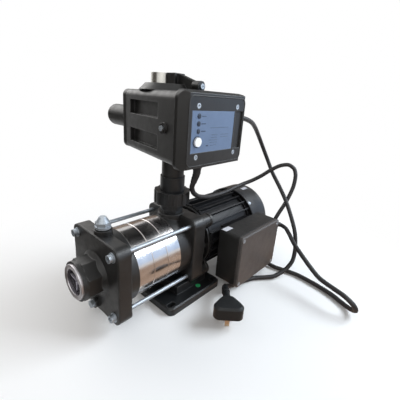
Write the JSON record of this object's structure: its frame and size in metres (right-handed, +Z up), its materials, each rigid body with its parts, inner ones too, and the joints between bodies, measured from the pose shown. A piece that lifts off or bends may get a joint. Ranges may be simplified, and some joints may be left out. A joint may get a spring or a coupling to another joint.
{
  "type": "horizontal multistage pump",
  "caption": "Horizontal multistage water pump with stainless stage casings, finned motor, terminal box and a pressure controller on its discharge port.",
  "frame": {"origin": "on the floor at the centre of the four base slots, straight under the discharge port axis", "axes": "+X along the shaft from the suction port to the fan cover, +Z up along the discharge port, -Y toward the controller's label face"},
  "size_m": [0.4008, 0.4136, 0.328],
  "materials": {
    "cast_black": "semi-gloss black paint on cast metal",
    "pale_metal": "pale machined metal",
    "bright_steel": "zinc plated steel",
    "stainless": "polished stainless sheet",
    "dark_plastic": "dark glass-filled plastic",
    "black_rubber": "black rubber",
    "seal_carbon": "carbon and rubber",
    "ceramic": "ceramic",
    "bearing_steel": "ground bearing steel",
    "motor_paint": "black paint on die-cast frame",
    "lamination": "stacked steel sheets",
    "copper_winding": "varnished copper wire",
    "fan_cover_paint": "black painted sheet with a bluish sheen",
    "base_plastic": "semi-gloss black plastic",
    "box_plastic": "matte black plastic",
    "box_cover_plastic": "matte grey plastic",
    "pale_plastic": "pale moulded plastic",
    "gland_grey": "pale grey plastic",
    "union_plastic": "black moulded plastic",
    "controller_plastic": "semi-gloss black moulded plastic",
    "board_green": "green circuit board",
    "label_blue": "light blue-grey label film",
    "lens_dark": "dark indicator lens",
    "button_white": "white button",
    "nickel": "nickel plated brass",
    "lead_rubber": "black rubber cable",
    "plug_rubber": "moulded black rubber plug",
    "pin_brass": "brass pin"
  },
  "bodies": {
    "pump": {"suction_cover": "cast_black", "suction_insert": "pale_metal", "priming_plug": "bright_steel", "priming_washer": "black_rubber", "drain_plug": "bright_steel", "stage_casing_1": "stainless", "stage_casing_2": "stainless", "stage_casing_3": "stainless", "diffuser_1": "dark_plastic", "diffuser_2": "dark_plastic", "diffuser_3": "dark_plastic", "discharge_casing": "cast_black", "tie_rods": "bright_steel", "tie_washers": "bright_steel", "seal_seat": "ceramic", "lantern": "cast_black", "front_bearing": "bearing_steel", "rear_bearing": "bearing_steel", "motor_frame": "motor_paint", "stator_core": "lamination", "windings": "copper_winding", "rear_shield": "motor_paint", "fan_cover": "fan_cover_paint", "fan_cover_screws": "bright_steel", "base_plate": "base_plastic", "terminal_box": "box_plastic", "terminal_gasket": "black_rubber", "terminal_cover": "box_cover_plastic", "cover_screws": "bright_steel", "terminal_block": "pale_plastic", "capacitor": "pale_plastic", "box_gland": "gland_grey", "union_tail": "union_plastic", "union_ring": "black_rubber", "union_socket": "union_plastic", "controller_body": "controller_plastic", "rear_cover": "controller_plastic", "diaphragm": "black_rubber", "spring": "bright_steel", "controller_housing": "controller_plastic", "circuit_board": "board_green", "label_panel": "label_blue", "indicator_lenses": "lens_dark", "housing_screws": "bright_steel", "outlet_nipple": "nickel", "controller_glands": "union_plastic", "motor_lead": "lead_rubber", "plug_lead": "lead_rubber", "plug_body": "plug_rubber", "plug_pins": "pin_brass"},
    "rotor": {"shaft": "bright_steel", "impeller_1": "stainless", "impeller_2": "stainless", "impeller_3": "stainless", "seal_head": "seal_carbon", "rotor_core": "lamination", "fan": "dark_plastic"},
    "union_nut": {"union_nut": "union_plastic"},
    "check_valve": {"check_valve": "pale_plastic"},
    "reset_button": {"reset_button": "button_white"}
  },
  "joints": [
    {"name": "rotor_spin", "type": "hinge", "parent": "pump", "child": "rotor", "pos_m": [0, 0, 0.075], "axis": [1, 0, 0], "continuous": true},
    {"name": "union_nut_turn", "type": "hinge", "parent": "pump", "child": "union_nut", "pos_m": [0, 0, 0.155], "axis": [0, 0, 1], "continuous": true},
    {"name": "check_valve_lift", "type": "slide", "parent": "pump", "child": "check_valve", "axis": [0, 0, 1], "range_m": [0, 0.008], "stiffness_N_per_m": 20},
    {"name": "reset_press", "type": "slide", "parent": "pump", "child": "reset_button", "axis": [0, 1, 0], "range_m": [0, 0.0015], "stiffness_N_per_m": 800}
  ]
}
